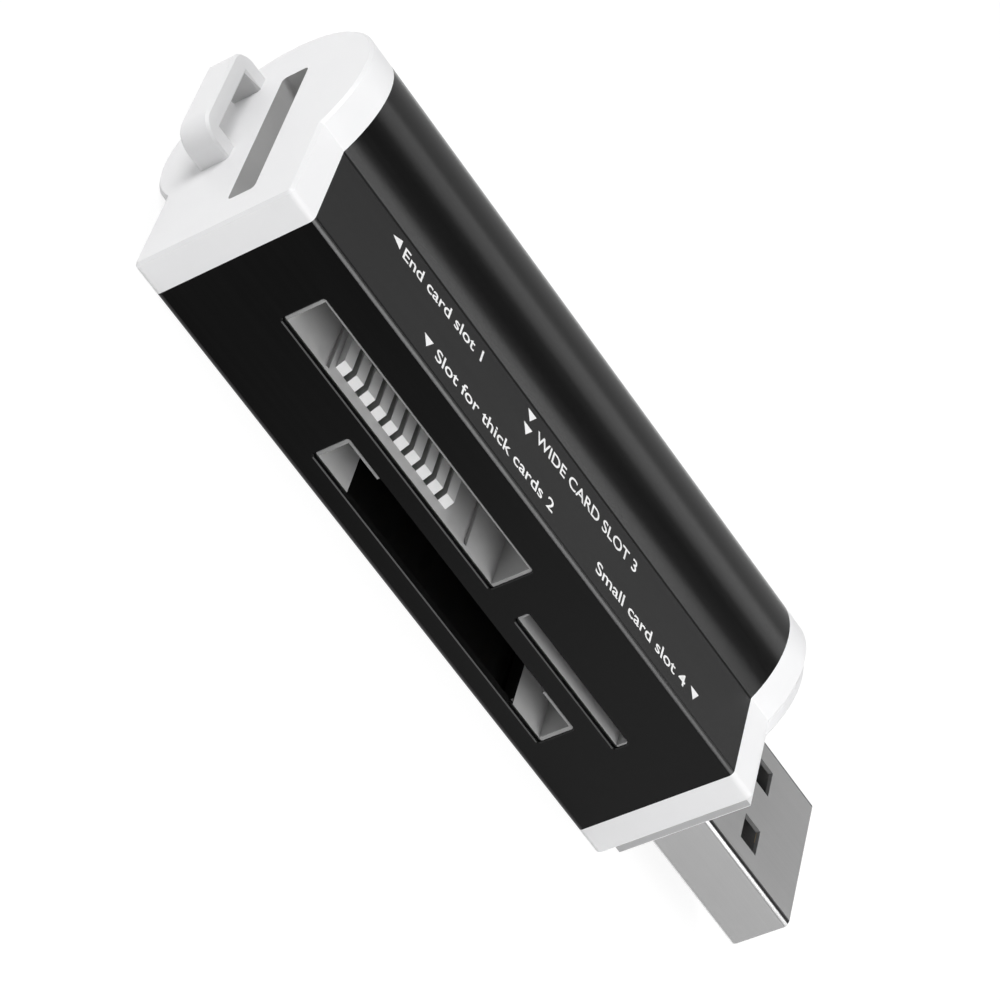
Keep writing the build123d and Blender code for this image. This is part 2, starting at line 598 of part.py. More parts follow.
with BuildPart() as small_card_contacts:
    beam_v = SMALL_LOW - STRIP_THICKNESS / 2
    tail_v = BOARD_TOP + STRIP_THICKNESS / 2
    for u in row((SMALL_START + SMALL_END) / 2, SMALL_CONTACT_COUNT, SMALL_PITCH):
        route = (
            (SMALL_CAVITY_BACK - SMALL_BEAM - 2 * NOSE_RUN, beam_v),
            (SMALL_CAVITY_BACK - SMALL_BEAM - NOSE_RUN, beam_v + NOSE_RISE),
            (SMALL_CAVITY_BACK - SMALL_BEAM, beam_v),
            (SMALL_BACK + STRIP_THICKNESS / 2, beam_v),
            (SMALL_BACK + STRIP_THICKNESS / 2, tail_v),
            (SMALL_BACK + STRIP_TAIL, tail_v),
        )
        extrude(strip(across(u - STRIP_WIDTH / 2), route, STRIP_THICKNESS), amount=STRIP_WIDTH)

with BuildPart() as small_card_socket:
    outside = panel(
        face(CASE_WALL), (SMALL_START - SOCKET_WALL, BOARD_TOP), (SMALL_END + SOCKET_WALL, SMALL_HIGH)
    )
    extrude(outside, amount=CASE_WALL - SMALL_BACK)
    extrude(panel(face(LIP_SETBACK), *SMALL_LIPS, LIP_CORNER), amount=LIP_SETBACK - CASE_WALL)
    cavity = panel(face(LIP_SETBACK), (SMALL_START, SMALL_LOW), (SMALL_END, SMALL_HIGH))
    extrude(cavity, amount=LIP_SETBACK - SMALL_CAVITY_BACK, mode=Mode.SUBTRACT)
    add(small_card_contacts.part, mode=Mode.SUBTRACT)

with BuildPart() as small_card_cover:
    extrude(folded_cover(SMALL_START, SMALL_END, SMALL_HIGH), amount=CASE_WALL - SMALL_BACK)

# End card socket: a short box behind the loop cap's slot

with BuildPart() as end_card_contacts:
    beam_v = END_LOW - STRIP_THICKNESS / 2
    pin_u = END_SOCKET_LENGTH - SOCKET_WALL - STRIP_THICKNESS
    for w in row(END_SLOT_W + END_LENGTH / 2, END_CONTACT_COUNT, END_PITCH):
        route = (
            (pin_u - END_BEAM, beam_v),
            (pin_u - END_BEAM / 2, beam_v + NOSE_RISE),
            (pin_u - END_BEAM / 4, beam_v),
            (pin_u, beam_v),
            (pin_u, BOARD_TOP),
        )
        extrude(strip(face(w - STRIP_WIDTH / 2), route, STRIP_THICKNESS), amount=-STRIP_WIDTH)

with BuildPart() as end_card_socket:
    outside_low = (END_SLOT_W - SOCKET_WALL, BOARD_TOP)
    outside_high = (END_SLOT_END + SOCKET_WALL, END_HIGH + END_ROOF)
    extrude(panel(across(0), outside_low, outside_high), amount=END_SOCKET_LENGTH)
    cavity = panel(across(0), (END_SLOT_W, END_LOW), (END_SLOT_END, END_HIGH))
    extrude(cavity, amount=END_SOCKET_LENGTH - SOCKET_WALL, mode=Mode.SUBTRACT)
    add(end_card_contacts.part, mode=Mode.SUBTRACT)

# Named pieces

pieces = {
    "body_shell": body_shell,
    "loop_cap": loop_cap,
    "usb_cap": usb_cap,
    "usb_plug_shell": usb_plug_shell,
    "usb_plug_tongue": usb_plug_tongue,
    "usb_plug_contacts": usb_plug_contacts,
    "circuit_board": circuit_board,
    "controller_chip": controller_chip,
    "crystal": crystal,
    "voltage_regulator": voltage_regulator,
    "chip_capacitors": chip_capacitors,
    "chip_resistors": chip_resistors,
    "wide_card_socket": wide_card_socket,
    "wide_card_contacts": wide_card_contacts,
    "stick_card_socket": stick_card_socket,
    "stick_card_cover": stick_card_cover,
    "stick_card_contacts": stick_card_contacts,
    "small_card_socket": small_card_socket,
    "small_card_cover": small_card_cover,
    "small_card_contacts": small_card_contacts,
    "end_card_socket": end_card_socket,
    "end_card_contacts": end_card_contacts,
}
os.makedirs("parts", exist_ok=True)
for name, piece in pieces.items():
    piece.part.label = name
    export_step(piece.part, f"parts/{name}.step")
print(f"tilt {degrees(TILT):.2f} degrees, length {PLUG_TIP - LOOP_TOP:.2f} mm")
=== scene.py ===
import json
from math import cos, pi, radians, sin

import bpy
from mathutils import Matrix, Vector


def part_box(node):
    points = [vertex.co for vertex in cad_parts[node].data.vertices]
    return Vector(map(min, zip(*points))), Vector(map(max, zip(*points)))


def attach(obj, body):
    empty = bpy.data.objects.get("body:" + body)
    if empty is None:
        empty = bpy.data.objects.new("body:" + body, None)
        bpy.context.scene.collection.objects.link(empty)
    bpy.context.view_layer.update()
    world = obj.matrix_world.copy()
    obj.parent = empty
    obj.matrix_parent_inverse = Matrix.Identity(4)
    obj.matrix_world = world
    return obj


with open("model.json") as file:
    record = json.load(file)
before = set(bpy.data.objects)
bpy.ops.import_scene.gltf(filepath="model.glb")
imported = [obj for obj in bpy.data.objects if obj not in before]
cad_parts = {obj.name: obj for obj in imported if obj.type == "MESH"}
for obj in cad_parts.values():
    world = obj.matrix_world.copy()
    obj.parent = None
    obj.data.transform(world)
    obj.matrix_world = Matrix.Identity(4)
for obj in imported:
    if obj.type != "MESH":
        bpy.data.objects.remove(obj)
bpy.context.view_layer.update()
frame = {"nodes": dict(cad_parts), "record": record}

# USB memory card reader: finishes, print, floor, light and camera.
# Lengths are in metres, and those of the case are written in millimetres times MM.
MM = 0.001

# Directions of the case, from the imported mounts: along it from the loop to the plug,
# into it from the slot face, and out of the label face
mounts = {mount["name"]: mount for mount in frame["record"]["mounts"]}
ALONG = Vector(mounts["usb_plug"]["axis"])
DEPTH = -Vector(mounts["stick_card_slot"]["axis"])
UP = -Vector(mounts["far_face"]["axis"])

# Where those directions start: at the loop cap's seam, on the slot face, half way up the stem.
# From there, a place in the case is u along it, w into it and v up.
STEM_WIDTH = 11.7 * MM
STEM_CORNER = 0.4 * MM
LABEL_LEVEL = STEM_WIDTH / 2
SEAM_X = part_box("body_shell")[0].x
SLOT_FACE = Vector(mounts["stick_card_slot"]["pos_m"]).dot(DEPTH)
STEM_MIDDLE = Vector(mounts["far_face"]["pos_m"]).dot(UP) + STEM_WIDTH / 2
START = ALONG * SEAM_X + DEPTH * SLOT_FACE + UP * STEM_MIDDLE

# Case: the dull line before the crease where the label face meets the dome, how squarely a
# facet faces a way to lie on the slot face or the rounded edge, and how far along the case a
# painted sheen pales the slot face
CREASE_DEPTH = 7.29 * MM
CREASE_RISE = (-0.25 * MM, -0.08 * MM)
CREASE_FALL = (0.0, 0.05 * MM)
CREASE_DULL = 0.75
SLOT_FACE_SQUARE = 0.999
EDGE_SQUARE = 0.01
EDGE_GLOSS = (0.45, 0.96)
SHEEN_PAINT_LENGTH = 45 * MM

# Sockets, where shade is painted: the floor of each tray or frame, the lips' fronts, the wide
# frame's open middle, and the stick tray's comb, which is painted paler as lit
SOCKET_FLOORS = {
    "wide_card_socket": -3.87 * MM,
    "stick_card_socket": 0.24 * MM,
    "small_card_socket": 0.28 * MM,
}
LIP_FRONT = 0.12 * MM
LIP_SQUARE = 0.99
RAIL_START, RAIL_END = 16.8 * MM, 35.0 * MM
COMB_START, COMB_END = 9.4 * MM, 21.1 * MM
COMB_FRONT = 1.0 * MM
COMB_FOOT = 0.05 * MM
COMB_TOP = 0.83 * MM

# Caps: the w and v of the openings in the loop cap's end, and the plug's collar, where
# shade is painted
END_SLOT = ((2.7 * MM, 16.25 * MM), (0.25 * MM, 2.35 * MM))
LOOP_HOLE = ((9.9 * MM, 16.3 * MM), (-3.6 * MM, -1.5 * MM))
OPENING_SQUARE = 0.1
COLLAR_LENGTH = 1.11 * MM
COLLAR_SQUARE = 0.9

# Plug: how far its bends lean towards the wide faces where a highlight is painted on them and
# where painted shade darkens them, as a rise and a fall, and the gold ends of its pins
BEND_PAINTED_HIGHLIGHT = ((0.4, 0.52), (0.74, 0.8))
BEND_PAINTED_SHADE = ((0.78, 0.86), (0.994, 0.9995))
PIN_GOLD = 1.1 * MM
PIN_FADE = 0.1 * MM

# Electronics: from a part's middle to its tinned leads or ends, the pitch of the rows, and a
# whole number that keeps the count along a row above nought
CHIP_REACH = 2.66 * MM
REGULATOR_REACH = 0.66 * MM
ROW_REACH = 0.5 * MM
CAPACITOR_PITCH = 2.5 * MM
RESISTOR_PITCH = 2.4 * MM
ROW_OFFSET = 10

# Finishes: where most of a noise lies, and the heights of bumps
NOISE_SPAN = (0.3, 0.7)
LINE_BUMP = 0.002 * MM
GRAIN_BUMP = 0.003 * MM
TRACK_BUMP = 0.01 * MM

# Print on the label face
PRINT_SIZE = 1.45 * MM
PRINT_WEIGHT = 0.012 * MM
PRINT_THICKNESS = 0.012 * MM
PRINT_SINK = 0.004 * MM
ARROW_WIDTH = 0.9 * MM
ARROW_LENGTH = 0.85 * MM

# Camera, fitted to the straight edges of the case in the photograph
CAMERA_AIM = Vector((-1.285, -0.088, 5.960)) * MM
CAMERA_DISTANCE = 239.46 * MM
CAMERA_AZIMUTH = radians(26.746)
CAMERA_ELEVATION = radians(19.635)
CAMERA_ROLL = radians(62.363)
CAMERA_LENS = 138.21
CAMERA_CLIP = CAMERA_DISTANCE / 100

# Floor and sky
FLOOR_SIZE = 6.0
FLOOR_DROP = 0.01 * MM
FLOOR_BOUNCE = 0.6
FLOOR_GLOW = 0.9
FLOOR_SHADE = 0.16
SKY_FRONT = 0.2
SKY_BACK = 0.46
SKY_TOP = 0.06
SKY_WALLS = (-0.3, 0.3)
SKY_OVERHEAD = (0.65, 0.84)


# Node helpers

def new_material(name):
    """A material with its node tree and its main shader."""
    made = bpy.data.materials.new(name)
    made.use_nodes = True
    return made, made.node_tree, made.node_tree.nodes["Principled BSDF"]


def node(tree, kind, inputs=None, **settings):
    """A node with its settings, and its inputs set or linked."""
    made = tree.nodes.new(kind)
    for key, value in settings.items():
        setattr(made, key, value)
    for key, value in (inputs or {}).items():
        if isinstance(value, bpy.types.NodeSocket):
            tree.links.new(value, made.inputs[key])
        else:
            made.inputs[key].default_value = value
    return made


def grey(value):
    return (value, value, value, 1.0)


def place_in(tree):
    """The place on the object, in metres."""
    return node(tree, "ShaderNodeTexCoord").outputs["Object"]


def stretched(tree, where, scale):
    """A place scaled by itself in each direction."""
    return node(tree, "ShaderNodeMapping", {"Vector": where, "Scale": scale}).outputs["Vector"]


def noise(tree, where, scale, detail=2.0, roughness=0.5):
    inputs = {"Vector": where, "Scale": scale, "Detail": detail, "Roughness": roughness}
    return node(tree, "ShaderNodeTexNoise", inputs).outputs["Fac"]


def remap(tree, value, span, to=(0.0, 1.0)):
    """A value carried smoothly from one span to another, held at both ends."""
    inputs = {"Value": value, "From Min": span[0], "From Max": span[1]}
    inputs.update({"To Min": to[0], "To Max": to[1]})
    made = node(tree, "ShaderNodeMapRange", inputs, interpolation_type="SMOOTHSTEP")
    return made.outputs["Result"]


def maths(tree, operation, *values):
    return node(tree, "ShaderNodeMath", dict(enumerate(values)), operation=operation).outputs[0]


def band(tree, value, rise, fall):
    """One from the end of a value's rise to the start of its fall, and nought outside both."""
    risen = remap(tree, value, rise)
    return maths(tree, "MULTIPLY", risen, remap(tree, value, fall, to=(1.0, 0.0)))


def dot(tree, vector, direction):
    inputs = {0: vector, 1: direction}
    return node(tree, "ShaderNodeVectorMath", inputs, operation="DOT_PRODUCT").outputs["Value"]


def mixed(tree, share, first, second):
    """Two colours mixed by a share from 0 to 1, through the mix node's colour sockets."""
    inputs = {0: share, 6: first, 7: second}
    return node(tree, "ShaderNodeMix", inputs, data_type="RGBA").outputs[2]


def bump(tree, height, distance):
    return node(tree, "ShaderNodeBump", {"Height": height, "Distance": distance}).outputs["Normal"]


def link(tree, shader, **sources):
    """Links sockets of the main shader, named with underscores for spaces."""
    for name, source in sources.items():
        tree.links.new(source, shader.inputs[name.replace("_", " ")])


def tint(made, share, colour, **sources):
    """Mixes a colour over a finish by a share, and links other sockets of its shader."""
    tree = made.node_tree
    shader = tree.nodes["Principled BSDF"]
    body = shader.inputs["Base Color"].links[0].from_socket
    link(tree, shader, Base_Color=mixed(tree, share, body, colour), **sources)


# Kinds of finish

def anodised(name, light, dark, roughness, level):
    """Black anodised extrusion: fine grain, faint lines along it and a dull crease at the dome."""
    made, tree, shader = new_material(name)
    where = place_in(tree)
    lines = noise(tree, stretched(tree, where, (60, 3000, 3000)), scale=1.0, detail=3.0)
    grain = noise(tree, where, scale=9000, detail=3.0, roughness=0.6)
    depth = maths(tree, "SUBTRACT", dot(tree, where, DEPTH), SLOT_FACE + CREASE_DEPTH)
    crease = band(tree, depth, CREASE_RISE, CREASE_FALL)
    satin = remap(tree, grain, NOISE_SPAN, to=(roughness - 0.03, roughness + 0.04))
    link(
        tree,
        shader,
        Base_Color=mixed(tree, remap(tree, lines, (0.35, 0.65)), dark, light),
        Roughness=maths(tree, "MULTIPLY_ADD", crease, CREASE_DULL, satin),
        Normal=bump(tree, maths(tree, "ADD", grain, lines), LINE_BUMP),
    )
    shader.inputs["Specular IOR Level"].default_value = level
    return made


def satin_plastic(name, light, dark):
    """Pale moulded plastic with a fine satin grain."""
    made, tree, shader = new_material(name)
    where = place_in(tree)
    grain = noise(tree, where, scale=7000, roughness=0.6)
    link(
        tree,
        shader,
        Base_Color=mixed(tree, noise(tree, where, scale=260), dark, light),
        Roughness=remap(tree, grain, NOISE_SPAN, to=(0.36, 0.46)),
        Normal=bump(tree, grain, GRAIN_BUMP),
    )
    shader.inputs["Specular IOR Level"].default_value = 0.4
    return made


def moulded(name, light, dark, roughness, level):
    """Plain moulded plastic or resin: a cloudy tint and a fine grain."""
    made, tree, shader = new_material(name)
    where = place_in(tree)
    cloud = noise(tree, where, scale=420)
    grain = noise(tree, where, scale=6500, roughness=0.6)
    link(
        tree,
        shader,
        Base_Color=mixed(tree, remap(tree, cloud, NOISE_SPAN), dark, light),
        Roughness=remap(tree, grain, NOISE_SPAN, to=(roughness - 0.05, roughness + 0.05)),
        Normal=bump(tree, grain, GRAIN_BUMP),
    )
    shader.inputs["Specular IOR Level"].default_value = level
    return made


def brushed(name, light, dark, roughness, scale, metal=1.0):
    """Plated or plain sheet with fine lines that run one way."""
    made, tree, shader = new_material(name)
    where = place_in(tree)
    lines = noise(tree, stretched(tree, where, scale), scale=1.0, detail=4.0, roughness=0.65)
    cloud = maths(tree, "MULTIPLY", noise(tree, where, scale=350), 0.4)
    streaks = maths(tree, "MULTIPLY_ADD", lines, 0.6, cloud)
    link(
        tree,
        shader,
        Base_Color=mixed(tree, remap(tree, streaks, NOISE_SPAN), dark, light),
        Roughness=remap(tree, lines, (0.25, 0.75), to=(roughness - 0.05, roughness + 0.06)),
        Normal=bump(tree, lines, LINE_BUMP),
    )
    shader.inputs["Metallic"].default_value = metal
    return made


# Finishes of the pieces

def case_black():
    light, dark = grey(0.0075), grey(0.0055)
    return anodised("case_black", light, dark, roughness=0.22, level=0.25)


def edge_black():
    """The case's black with more gloss, for its rounded edge."""
    light, dark = grey(0.0075), grey(0.0055)
    return anodised("case_black_edge", light, dark, roughness=0.36, level=0.75)


def slot_face_black():
    """The duller black of the slot face, painted darker than the case's black as shade, with a
    painted sheen that pales it towards the plug.
    """
    light, dark = grey(0.0035), grey(0.0025)
    made = anodised("case_black_slot_face", light, dark, roughness=0.22, level=0.045)
    tree = made.node_tree
    along = dot(tree, place_in(tree), ALONG)
    # Painted sheen: the slot face's black pales towards the plug
    tint(made, remap(tree, along, (SEAM_X, SEAM_X + SHEEN_PAINT_LENGTH)), grey(0.014))
    return made


def cap_white():
    light, dark = (0.86, 0.86, 0.865, 1), (0.83, 0.83, 0.84, 1)
    return satin_plastic("cap_white", light, dark)


# Painted shade: the collar's front, greyer where the cap above it shades it
def collar_painted_shade():
    light, dark = (0.46, 0.46, 0.465, 1), (0.42, 0.42, 0.425, 1)
    return satin_plastic("collar_painted_shade", light, dark)


# Painted shade: the insides of the end slot and the loop's hole, greyer than the cap
def end_recess_painted_shade():
    return moulded("end_recess_painted_shade", grey(0.6), grey(0.56), roughness=0.42, level=0.4)


def plug_steel():
    """Satin plate, half dull, with a painted highlight along its bends and painted shade where they
    turn into the wide faces.
    """
    light, dark = grey(0.42), grey(0.4)
    scale = (90, 5200, 5200)
    made = brushed("plug_steel", light, dark, roughness=0.2, scale=scale, metal=0.5)
    tree = made.node_tree
    normal = node(tree, "ShaderNodeNewGeometry").outputs["Normal"]
    lean = maths(tree, "ABSOLUTE", dot(tree, normal, UP))
    # Painted highlight along the bends
    tint(made, band(tree, lean, *BEND_PAINTED_HIGHLIGHT), grey(0.92))
    # Painted shade where the bends meet the wide faces
    tint(made, band(tree, lean, *BEND_PAINTED_SHADE), grey(0.04))
    return made


def sheet_steel():
    light, dark = grey(0.6), grey(0.52)
    return brushed("sheet_steel", light, dark, roughness=0.34, scale=(4200, 120, 4200))


def contact_gold():
    light, dark = (0.86, 0.66, 0.31, 1), (0.74, 0.53, 0.22, 1)
    return brushed("contact_gold", light, dark, roughness=0.26, scale=(3800, 300, 3800))


def pin_gold():
    """The plug's pins: gold on the ends that touch; behind them near black, partly a plain plating
    and partly painted shade seen through the latch windows.
    """
    light, dark = (0.7, 0.54, 0.26, 1), (0.58, 0.43, 0.19, 1)
    made = brushed("pin_gold", light, dark, roughness=0.32, scale=(300, 3800, 3800))
    tree = made.node_tree
    gold_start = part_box("usb_plug_contacts")[1].x - PIN_GOLD
    along = dot(tree, place_in(tree), ALONG)
    # Near black behind the gold: partly plain plating, partly painted shade
    tint(made, remap(tree, along, (gold_start, gold_start - PIN_FADE)), grey(0.05))
    return made


def tongue_black():
    return moulded("tongue_black", grey(0.03), grey(0.022), roughness=0.45, level=0.4)


# Painted shade: the sockets' plastic darker than it is, as the insides of the slots lie in shade
def socket_grey():
    return moulded("socket_grey", grey(0.53), grey(0.49), roughness=0.42, level=0.4)


# Painted shade: the lips' fronts just inside the slots' mouths, darker than the tray
def lip_painted_shade():
    return moulded("socket_lip_painted_shade", grey(0.3), grey(0.26), roughness=0.42, level=0.4)


# Painted shade: black where the case shades the sockets
def shade_black():
    return moulded("socket_shade", grey(0.02), grey(0.015), roughness=0.5, level=0.2)


# Painted light: the comb paler than the shaded tray it is part of
def comb_painted_light():
    return moulded("comb_painted_light", grey(0.84), grey(0.8), roughness=0.42, level=0.4)


def tinned(made, ends):
    """Turns a part's leads or end caps to tin, where a mask says so."""
    tint(made, ends, grey(0.62), Metallic=ends)
    return made


def from_middle(tree, name, direction):
    """How far a place lies from the middle of a piece, one way."""
    low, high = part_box(name)
    middle = ((low + high) / 2).dot(direction)
    return maths(tree, "SUBTRACT", dot(tree, place_in(tree), direction), middle)


def chip_resin(name, direction, reach):
    """Black resin with tinned leads, which start at a reach to either side of its middle."""
    made = moulded(name, grey(0.034), grey(0.024), roughness=0.5, level=0.35)
    tree = made.node_tree
    away = maths(tree, "ABSOLUTE", from_middle(tree, name, direction))
    return tinned(made, maths(tree, "GREATER_THAN", away, reach))


def chip_row(name, light, dark, pitch):
    """A row of chip parts across the case, each with tin on both its ends."""
    made = moulded(name, light, dark, roughness=0.4, level=0.4)
    tree = made.node_tree
    across = from_middle(tree, name, DEPTH)
    share = maths(tree, "FRACT", maths(tree, "MULTIPLY_ADD", across, 1 / pitch, ROW_OFFSET + 0.5))
    away = maths(tree, "ABSOLUTE", maths(tree, "SUBTRACT", share, 0.5))
    return tinned(made, maths(tree, "GREATER_THAN", away, ROW_REACH / pitch))


def capacitor_tan():
    light, dark = (0.47, 0.34, 0.22, 1), (0.4, 0.28, 0.18, 1)
    return chip_row("chip_capacitors", light, dark, CAPACITOR_PITCH)


def resistor_dark():
    return chip_row("chip_resistors", grey(0.05), grey(0.035), RESISTOR_PITCH)


def board_green():
    """Green solder mask over copper tracks that run square to each other."""
    made, tree, shader = new_material("board_green")
    where = place_in(tree)
    brick = {"Vector": where, "Scale": 420.0, "Mortar Size": 0.12, "Mortar Smooth": 0.2}
    tracks = node(tree, "ShaderNodeTexBrick", brick).outputs["Fac"]
    cloud = noise(tree, where, scale=300)
    mask = mixed(tree, cloud, (0.012, 0.09, 0.035, 1), (0.018, 0.12, 0.05, 1))
    link(
        tree,
        shader,
        Base_Color=mixed(tree, tracks, mask, (0.035, 0.2, 0.085, 1)),
        Roughness=remap(tree, cloud, NOISE_SPAN, to=(0.28, 0.36)),
        Normal=bump(tree, tracks, TRACK_BUMP),
    )
    return made


def print_white():
    """White ink, a little uneven where it dried."""
    return moulded("print_white", grey(0.86), grey(0.8), roughness=0.55, level=0.3)


# Which facets of a piece take a finish other than its main one, most of them painted shade

def case_place(point):
    """A point's u, w and v in the case."""
    away = point - START
    return away.dot(ALONG), away.dot(DEPTH), away.dot(UP)


def case_faces(shell):
    """Gives the slot face its own duller black, painted darker as shade, and a gloss to the middle
    of the edge above it.
    """
    face_black, gloss = 1, 2
    shell.materials.append(slot_face_black())
    shell.materials.append(edge_black())
    for polygon in shell.polygons:
        out, up = -polygon.normal.dot(DEPTH), polygon.normal.dot(UP)
        near_face = polygon.center.dot(DEPTH) - SLOT_FACE < STEM_CORNER
        high = polygon.center.dot(UP) - STEM_MIDDLE > LABEL_LEVEL - STEM_CORNER
        if near_face and out > SLOT_FACE_SQUARE:
            polygon.material_index = face_black
        elif near_face and high and out > EDGE_SQUARE and up > EDGE_SQUARE:
            glossy = EDGE_GLOSS[0] < up < EDGE_GLOSS[1]
            polygon.material_index = gloss if glossy else face_black


def end_recesses(cap):
    """Paints shade in the end card slot and the hole in the loop, with a greyer colour than the
    cap.
    """
    cap.materials.append(end_recess_painted_shade())
    for polygon in cap.polygons:
        u, w, v = case_place(polygon.center)
        across = abs(polygon.normal.dot(ALONG)) < OPENING_SQUARE and u < 0
        for (near, far), (low, high) in (END_SLOT, LOOP_HOLE):
            if across and near < w < far and low < v < high:
                polygon.material_index = 1


def collar_front(cap):
    """Paints shade on the front of the plug's collar, with a greyer colour than the cap it stands
    on.
    """
    cap.materials.append(collar_painted_shade())
    collar_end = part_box("usb_cap")[1].x
    for polygon in cap.polygons:
        on_collar = polygon.center.x > collar_end - COLLAR_LENGTH
        if on_collar and polygon.normal.dot(DEPTH) < -COLLAR_SQUARE:
            polygon.material_index = 1


def socket_faces():
    """Paints shade on the sockets: a darker grey on the lips' fronts, black where the case shades
    them, and a paler grey, painted light, on the comb.
    """
    lip, shade, comb = 1, 2, 3
    lip_finish, shade_finish = lip_painted_shade(), shade_black()
    for name, floor_level in SOCKET_FLOORS.items():
        socket = frame["nodes"][name].data
        socket.materials.append(lip_finish)
        socket.materials.append(shade_finish)
        if name == "stick_card_socket":
            socket.materials.append(comb_painted_light())
        for polygon in socket.polygons:
            u, w, v = case_place(polygon.center)
            # Painted shade: the lips' fronts darker, and black below the floor, under the slot's
            # edge
            if polygon.normal.dot(DEPTH) < -LIP_SQUARE and w < LIP_FRONT:
                polygon.material_index = lip if v > floor_level else shade
            # Painted shade: the wide frame's open middle in black
            elif name == "wide_card_socket" and RAIL_START < u < RAIL_END and v < floor_level:
                polygon.material_index = shade
            # Painted light: the comb's teeth in a paler grey than the tray
            elif name == "stick_card_socket" and COMB_START < u < COMB_END and w > COMB_FRONT:
                if floor_level + COMB_FOOT < v < COMB_TOP:
                    polygon.material_index = comb


def dress(finish, *names):
    """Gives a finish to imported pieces."""
    for name in names:
        frame["nodes"][name].data.materials[0] = finish


dress(case_black(), "body_shell")
case_faces(frame["nodes"]["body_shell"].data)
dress(cap_white(), "loop_cap", "usb_cap")
end_recesses(frame["nodes"]["loop_cap"].data)
collar_front(frame["nodes"]["usb_cap"].data)
dress(plug_steel(), "usb_plug_shell")
dress(tongue_black(), "usb_plug_tongue")
dress(pin_gold(), "usb_plug_contacts")
dress(
    contact_gold(),
    "wide_card_contacts",
    "stick_card_contacts",
    "small_card_contacts",
    "end_card_contacts",
)
dress(board_green(), "circuit_board")
dress(
    socket_grey(),
    "wide_card_socket",
    "stick_card_socket",
    "small_card_socket",
    "end_card_socket",
)
socket_faces()
dress(sheet_steel(), "stick_card_cover", "small_card_cover", "crystal")
dress(chip_resin("controller_chip", ALONG, CHIP_REACH), "controller_chip")
dress(chip_resin("voltage_regulator", DEPTH, REGULATOR_REACH), "voltage_regulator")
dress(capacitor_tan(), "chip_capacitors")
dress(resistor_dark(), "chip_resistors")

# Print on the label face: a plain name and an arrow for each slot
ink = print_white()


def printed(name, mesh, u, w):
    """Lays a flat mesh on the label face, its x along the case and its y into it."""
    corner = START + ALONG * u + DEPTH * w + UP * (LABEL_LEVEL - PRINT_SINK)
    turn = Matrix((ALONG, DEPTH, UP)).transposed().to_4x4()
    mesh.transform(Matrix.Translation(corner) @ turn)
    mesh.materials.clear()
    mesh.materials.append(ink)
    piece = bpy.data.objects.new(name, mesh)
    bpy.context.scene.collection.objects.link(piece)
    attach(piece, "root")


def words(name, text, u, w, length):
    """A line of print that starts at u, stands on w and is as long as given; set in millimetres."""
    font = bpy.data.curves.new(name, "FONT")
    font.body = text
    font.size = PRINT_SIZE / MM
    font.extrude = PRINT_THICKNESS / MM / 2
    font.offset = PRINT_WEIGHT / MM
    holder = bpy.data.objects.new(name + "_curve", font)
    bpy.context.scene.collection.objects.link(holder)
    bpy.context.view_layer.update()
    drawn = holder.evaluated_get(bpy.context.evaluated_depsgraph_get())
    mesh = bpy.data.meshes.new_from_object(drawn)
    bpy.data.objects.remove(holder)
    left = min(vertex.co.x for vertex in mesh.vertices)
    right = max(vertex.co.x for vertex in mesh.vertices)
    squeeze = length / (right - left)
    mesh.transform(Matrix.Translation((-left, 0, PRINT_THICKNESS / MM / 2)))
    mesh.transform(Matrix.Diagonal((squeeze, MM, MM, 1)))
    mesh.name = name
    printed(name, mesh, u, w)


def arrow(name, u, w, turn=0.0):
    """A small solid triangle about a place; unturned, it points at the slot face."""
    half = ARROW_WIDTH / 2
    outline = ((-half, ARROW_LENGTH / 2), (0, -ARROW_LENGTH / 2), (half, ARROW_LENGTH / 2))
    bottom = [(x, y, 0) for x, y in outline]
    top = [(x, y, PRINT_THICKNESS) for x, y in outline]
    faces = [(2, 1, 0), (3, 4, 5)]
    faces += [(i, (i + 1) % 3, (i + 1) % 3 + 3, i + 3) for i in range(3)]
    mesh = bpy.data.meshes.new(name)
    mesh.from_pydata(bottom + top, [], faces)
    mesh.transform(Matrix.Rotation(turn, 4, "Z"))
    printed(name, mesh, u, w)


words("print_end_slot", "End card slot 1", u=6.8 * MM, w=5.42 * MM, length=8.35 * MM)
words("print_stick_slot", "Slot for thick cards 2", u=11.7 * MM, w=1.42 * MM, length=12.6 * MM)
words("print_wide_slot", "WIDE CARD SLOT 3", u=21.25 * MM, w=5.02 * MM, length=11.2 * MM)
words("print_small_slot", "Small card slot 4", u=29.1 * MM, w=1.45 * MM, length=10.1 * MM)
arrow("arrow_end_slot", u=6.0 * MM, w=6.13 * MM, turn=-pi / 2)
arrow("arrow_stick_slot", u=10.81 * MM, w=1.88 * MM)
arrow("arrow_wide_slot_1", u=20.33 * MM, w=6.27 * MM)
arrow("arrow_wide_slot_2", u=20.33 * MM, w=4.93 * MM)
arrow("arrow_small_slot", u=40.22 * MM, w=1.9 * MM)


# Floor, light and camera

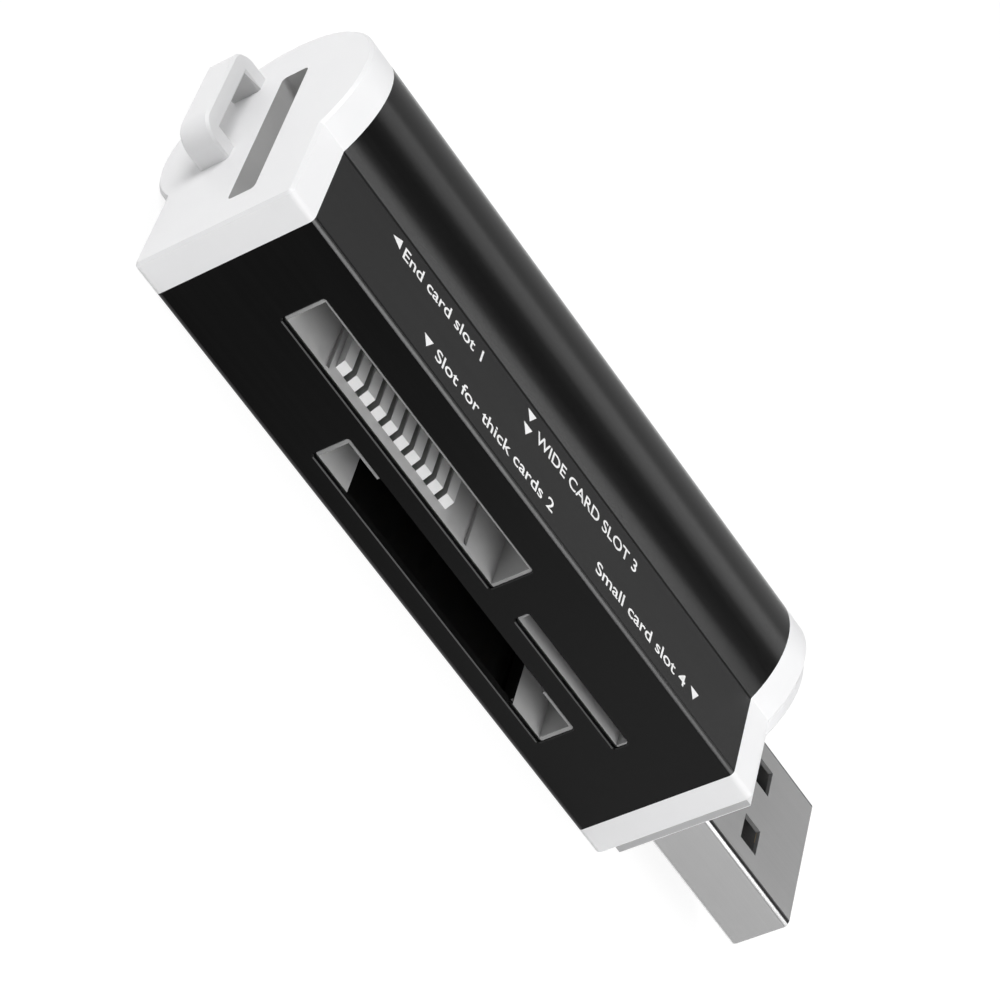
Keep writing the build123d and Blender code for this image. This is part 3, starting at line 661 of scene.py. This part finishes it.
def floor():
    """A plain pale floor: white to the eye, with the object's soft shadow on it."""
    half = FLOOR_SIZE / 2
    sides = ((-half, -half), (half, -half), (half, half), (-half, half))
    mesh = bpy.data.meshes.new("floor")
    mesh.from_pydata([(x, y, -FLOOR_DROP) for x, y in sides], [], [(0, 1, 2, 3)])
    piece = bpy.data.objects.new("floor", mesh)
    bpy.context.scene.collection.objects.link(piece)
    made, tree, shader = new_material("floor_pale")
    tree.nodes.remove(shader)
    rays = node(tree, "ShaderNodeLightPath").outputs
    mirrored = maths(tree, "MAXIMUM", rays["Is Glossy Ray"], rays["Is Transmission Ray"])
    seen = maths(tree, "MAXIMUM", rays["Is Camera Ray"], mirrored)
    bounce = node(tree, "ShaderNodeBsdfDiffuse", {"Color": grey(FLOOR_BOUNCE)}).outputs[0]
    shade = node(tree, "ShaderNodeBsdfDiffuse", {"Color": grey(FLOOR_SHADE)}).outputs[0]
    white = {"Color": grey(1.0), "Strength": FLOOR_GLOW}
    glow = node(tree, "ShaderNodeEmission", white).outputs[0]
    pale = node(tree, "ShaderNodeAddShader", {0: shade, 1: glow}).outputs[0]
    surface = node(tree, "ShaderNodeMixShader", {0: seen, 1: bounce, 2: pale}).outputs[0]
    tree.links.new(surface, tree.nodes["Material Output"].inputs["Surface"])
    mesh.materials.append(made)


def softbox(name, toward, distance, size, radiance):
    """A lamp panel that faces the object from a way along, into and up from the case."""
    width, height = size
    lamp = bpy.data.lights.new(name, "AREA")
    lamp.shape = "RECTANGLE"
    lamp.size = width
    lamp.size_y = height
    lamp.energy = radiance * pi * width * height
    along, into, up = toward
    back = (ALONG * along + DEPTH * into + UP * up).normalized()
    side = (ALONG - back * ALONG.dot(back)).normalized()
    turn = Matrix((side, back.cross(side), back)).transposed()
    holder = bpy.data.objects.new(name, lamp)
    holder.matrix_world = Matrix.Translation(CAMERA_AIM + back * distance) @ turn.to_4x4()
    holder.visible_camera = False
    bpy.context.scene.collection.objects.link(holder)


def sky():
    """A studio, dark overhead, with a pale wall behind the object and a dimmer one in front."""
    world = bpy.data.worlds.new("studio")
    world.use_nodes = True
    tree = world.node_tree
    toward = node(tree, "ShaderNodeTexCoord").outputs["Generated"]
    wall = remap(tree, dot(tree, toward, (0, 1, 0)), SKY_WALLS, to=(SKY_FRONT, SKY_BACK))
    overhead = remap(tree, dot(tree, toward, (0, 0, 1)), SKY_OVERHEAD)
    level = mixed(tree, overhead, wall, grey(SKY_TOP))
    tree.links.new(level, tree.nodes["Background"].inputs["Color"])
    bpy.context.scene.world = world


def light():
    """Two panels that draw the bands on the dome, and soft fills at both ends and in front."""
    softbox("key_panel", (0.35, -0.49, 0.76), distance=0.5, size=(0.2, 0.4), radiance=4.6)
    softbox("strip_panel", (0.36, 0.56, 0.712), distance=0.5, size=(0.28, 0.17), radiance=1.65)
    softbox("fill_panel", (-0.82, 0.22, 0.48), distance=0.7, size=(0.42, 0.42), radiance=5.8)
    softbox("front_panel", (0.08, -0.8, 0.5), distance=0.6, size=(0.22, 0.45), radiance=3.6)
    softbox("top_panel", (0.8, 0.1, 0.6), distance=0.6, size=(0.3, 0.3), radiance=1.2)
    sky()


def camera():
    """The photograph's view, rolled so that the case lies along the picture's diagonal."""
    level = cos(CAMERA_ELEVATION)
    across, away = sin(CAMERA_AZIMUTH) * level, cos(CAMERA_AZIMUTH) * level
    forward = Vector((across, away, -sin(CAMERA_ELEVATION)))
    flat_right = forward.cross(Vector((0, 0, 1))).normalized()
    flat_up = flat_right.cross(forward)
    right = flat_right * cos(CAMERA_ROLL) + flat_up * sin(CAMERA_ROLL)
    turn = Matrix((right, right.cross(forward), -forward)).transposed()
    data = bpy.data.cameras.new("camera")
    data.lens = CAMERA_LENS
    data.clip_start = CAMERA_CLIP
    holder = bpy.data.objects.new("camera", data)
    holder.matrix_world = Matrix.Translation(CAMERA_AIM - forward * CAMERA_DISTANCE) @ turn.to_4x4()
    bpy.context.scene.collection.objects.link(holder)
    bpy.context.scene.camera = holder


floor()
light()
camera()
bpy.context.scene.view_settings.view_transform = "Standard"
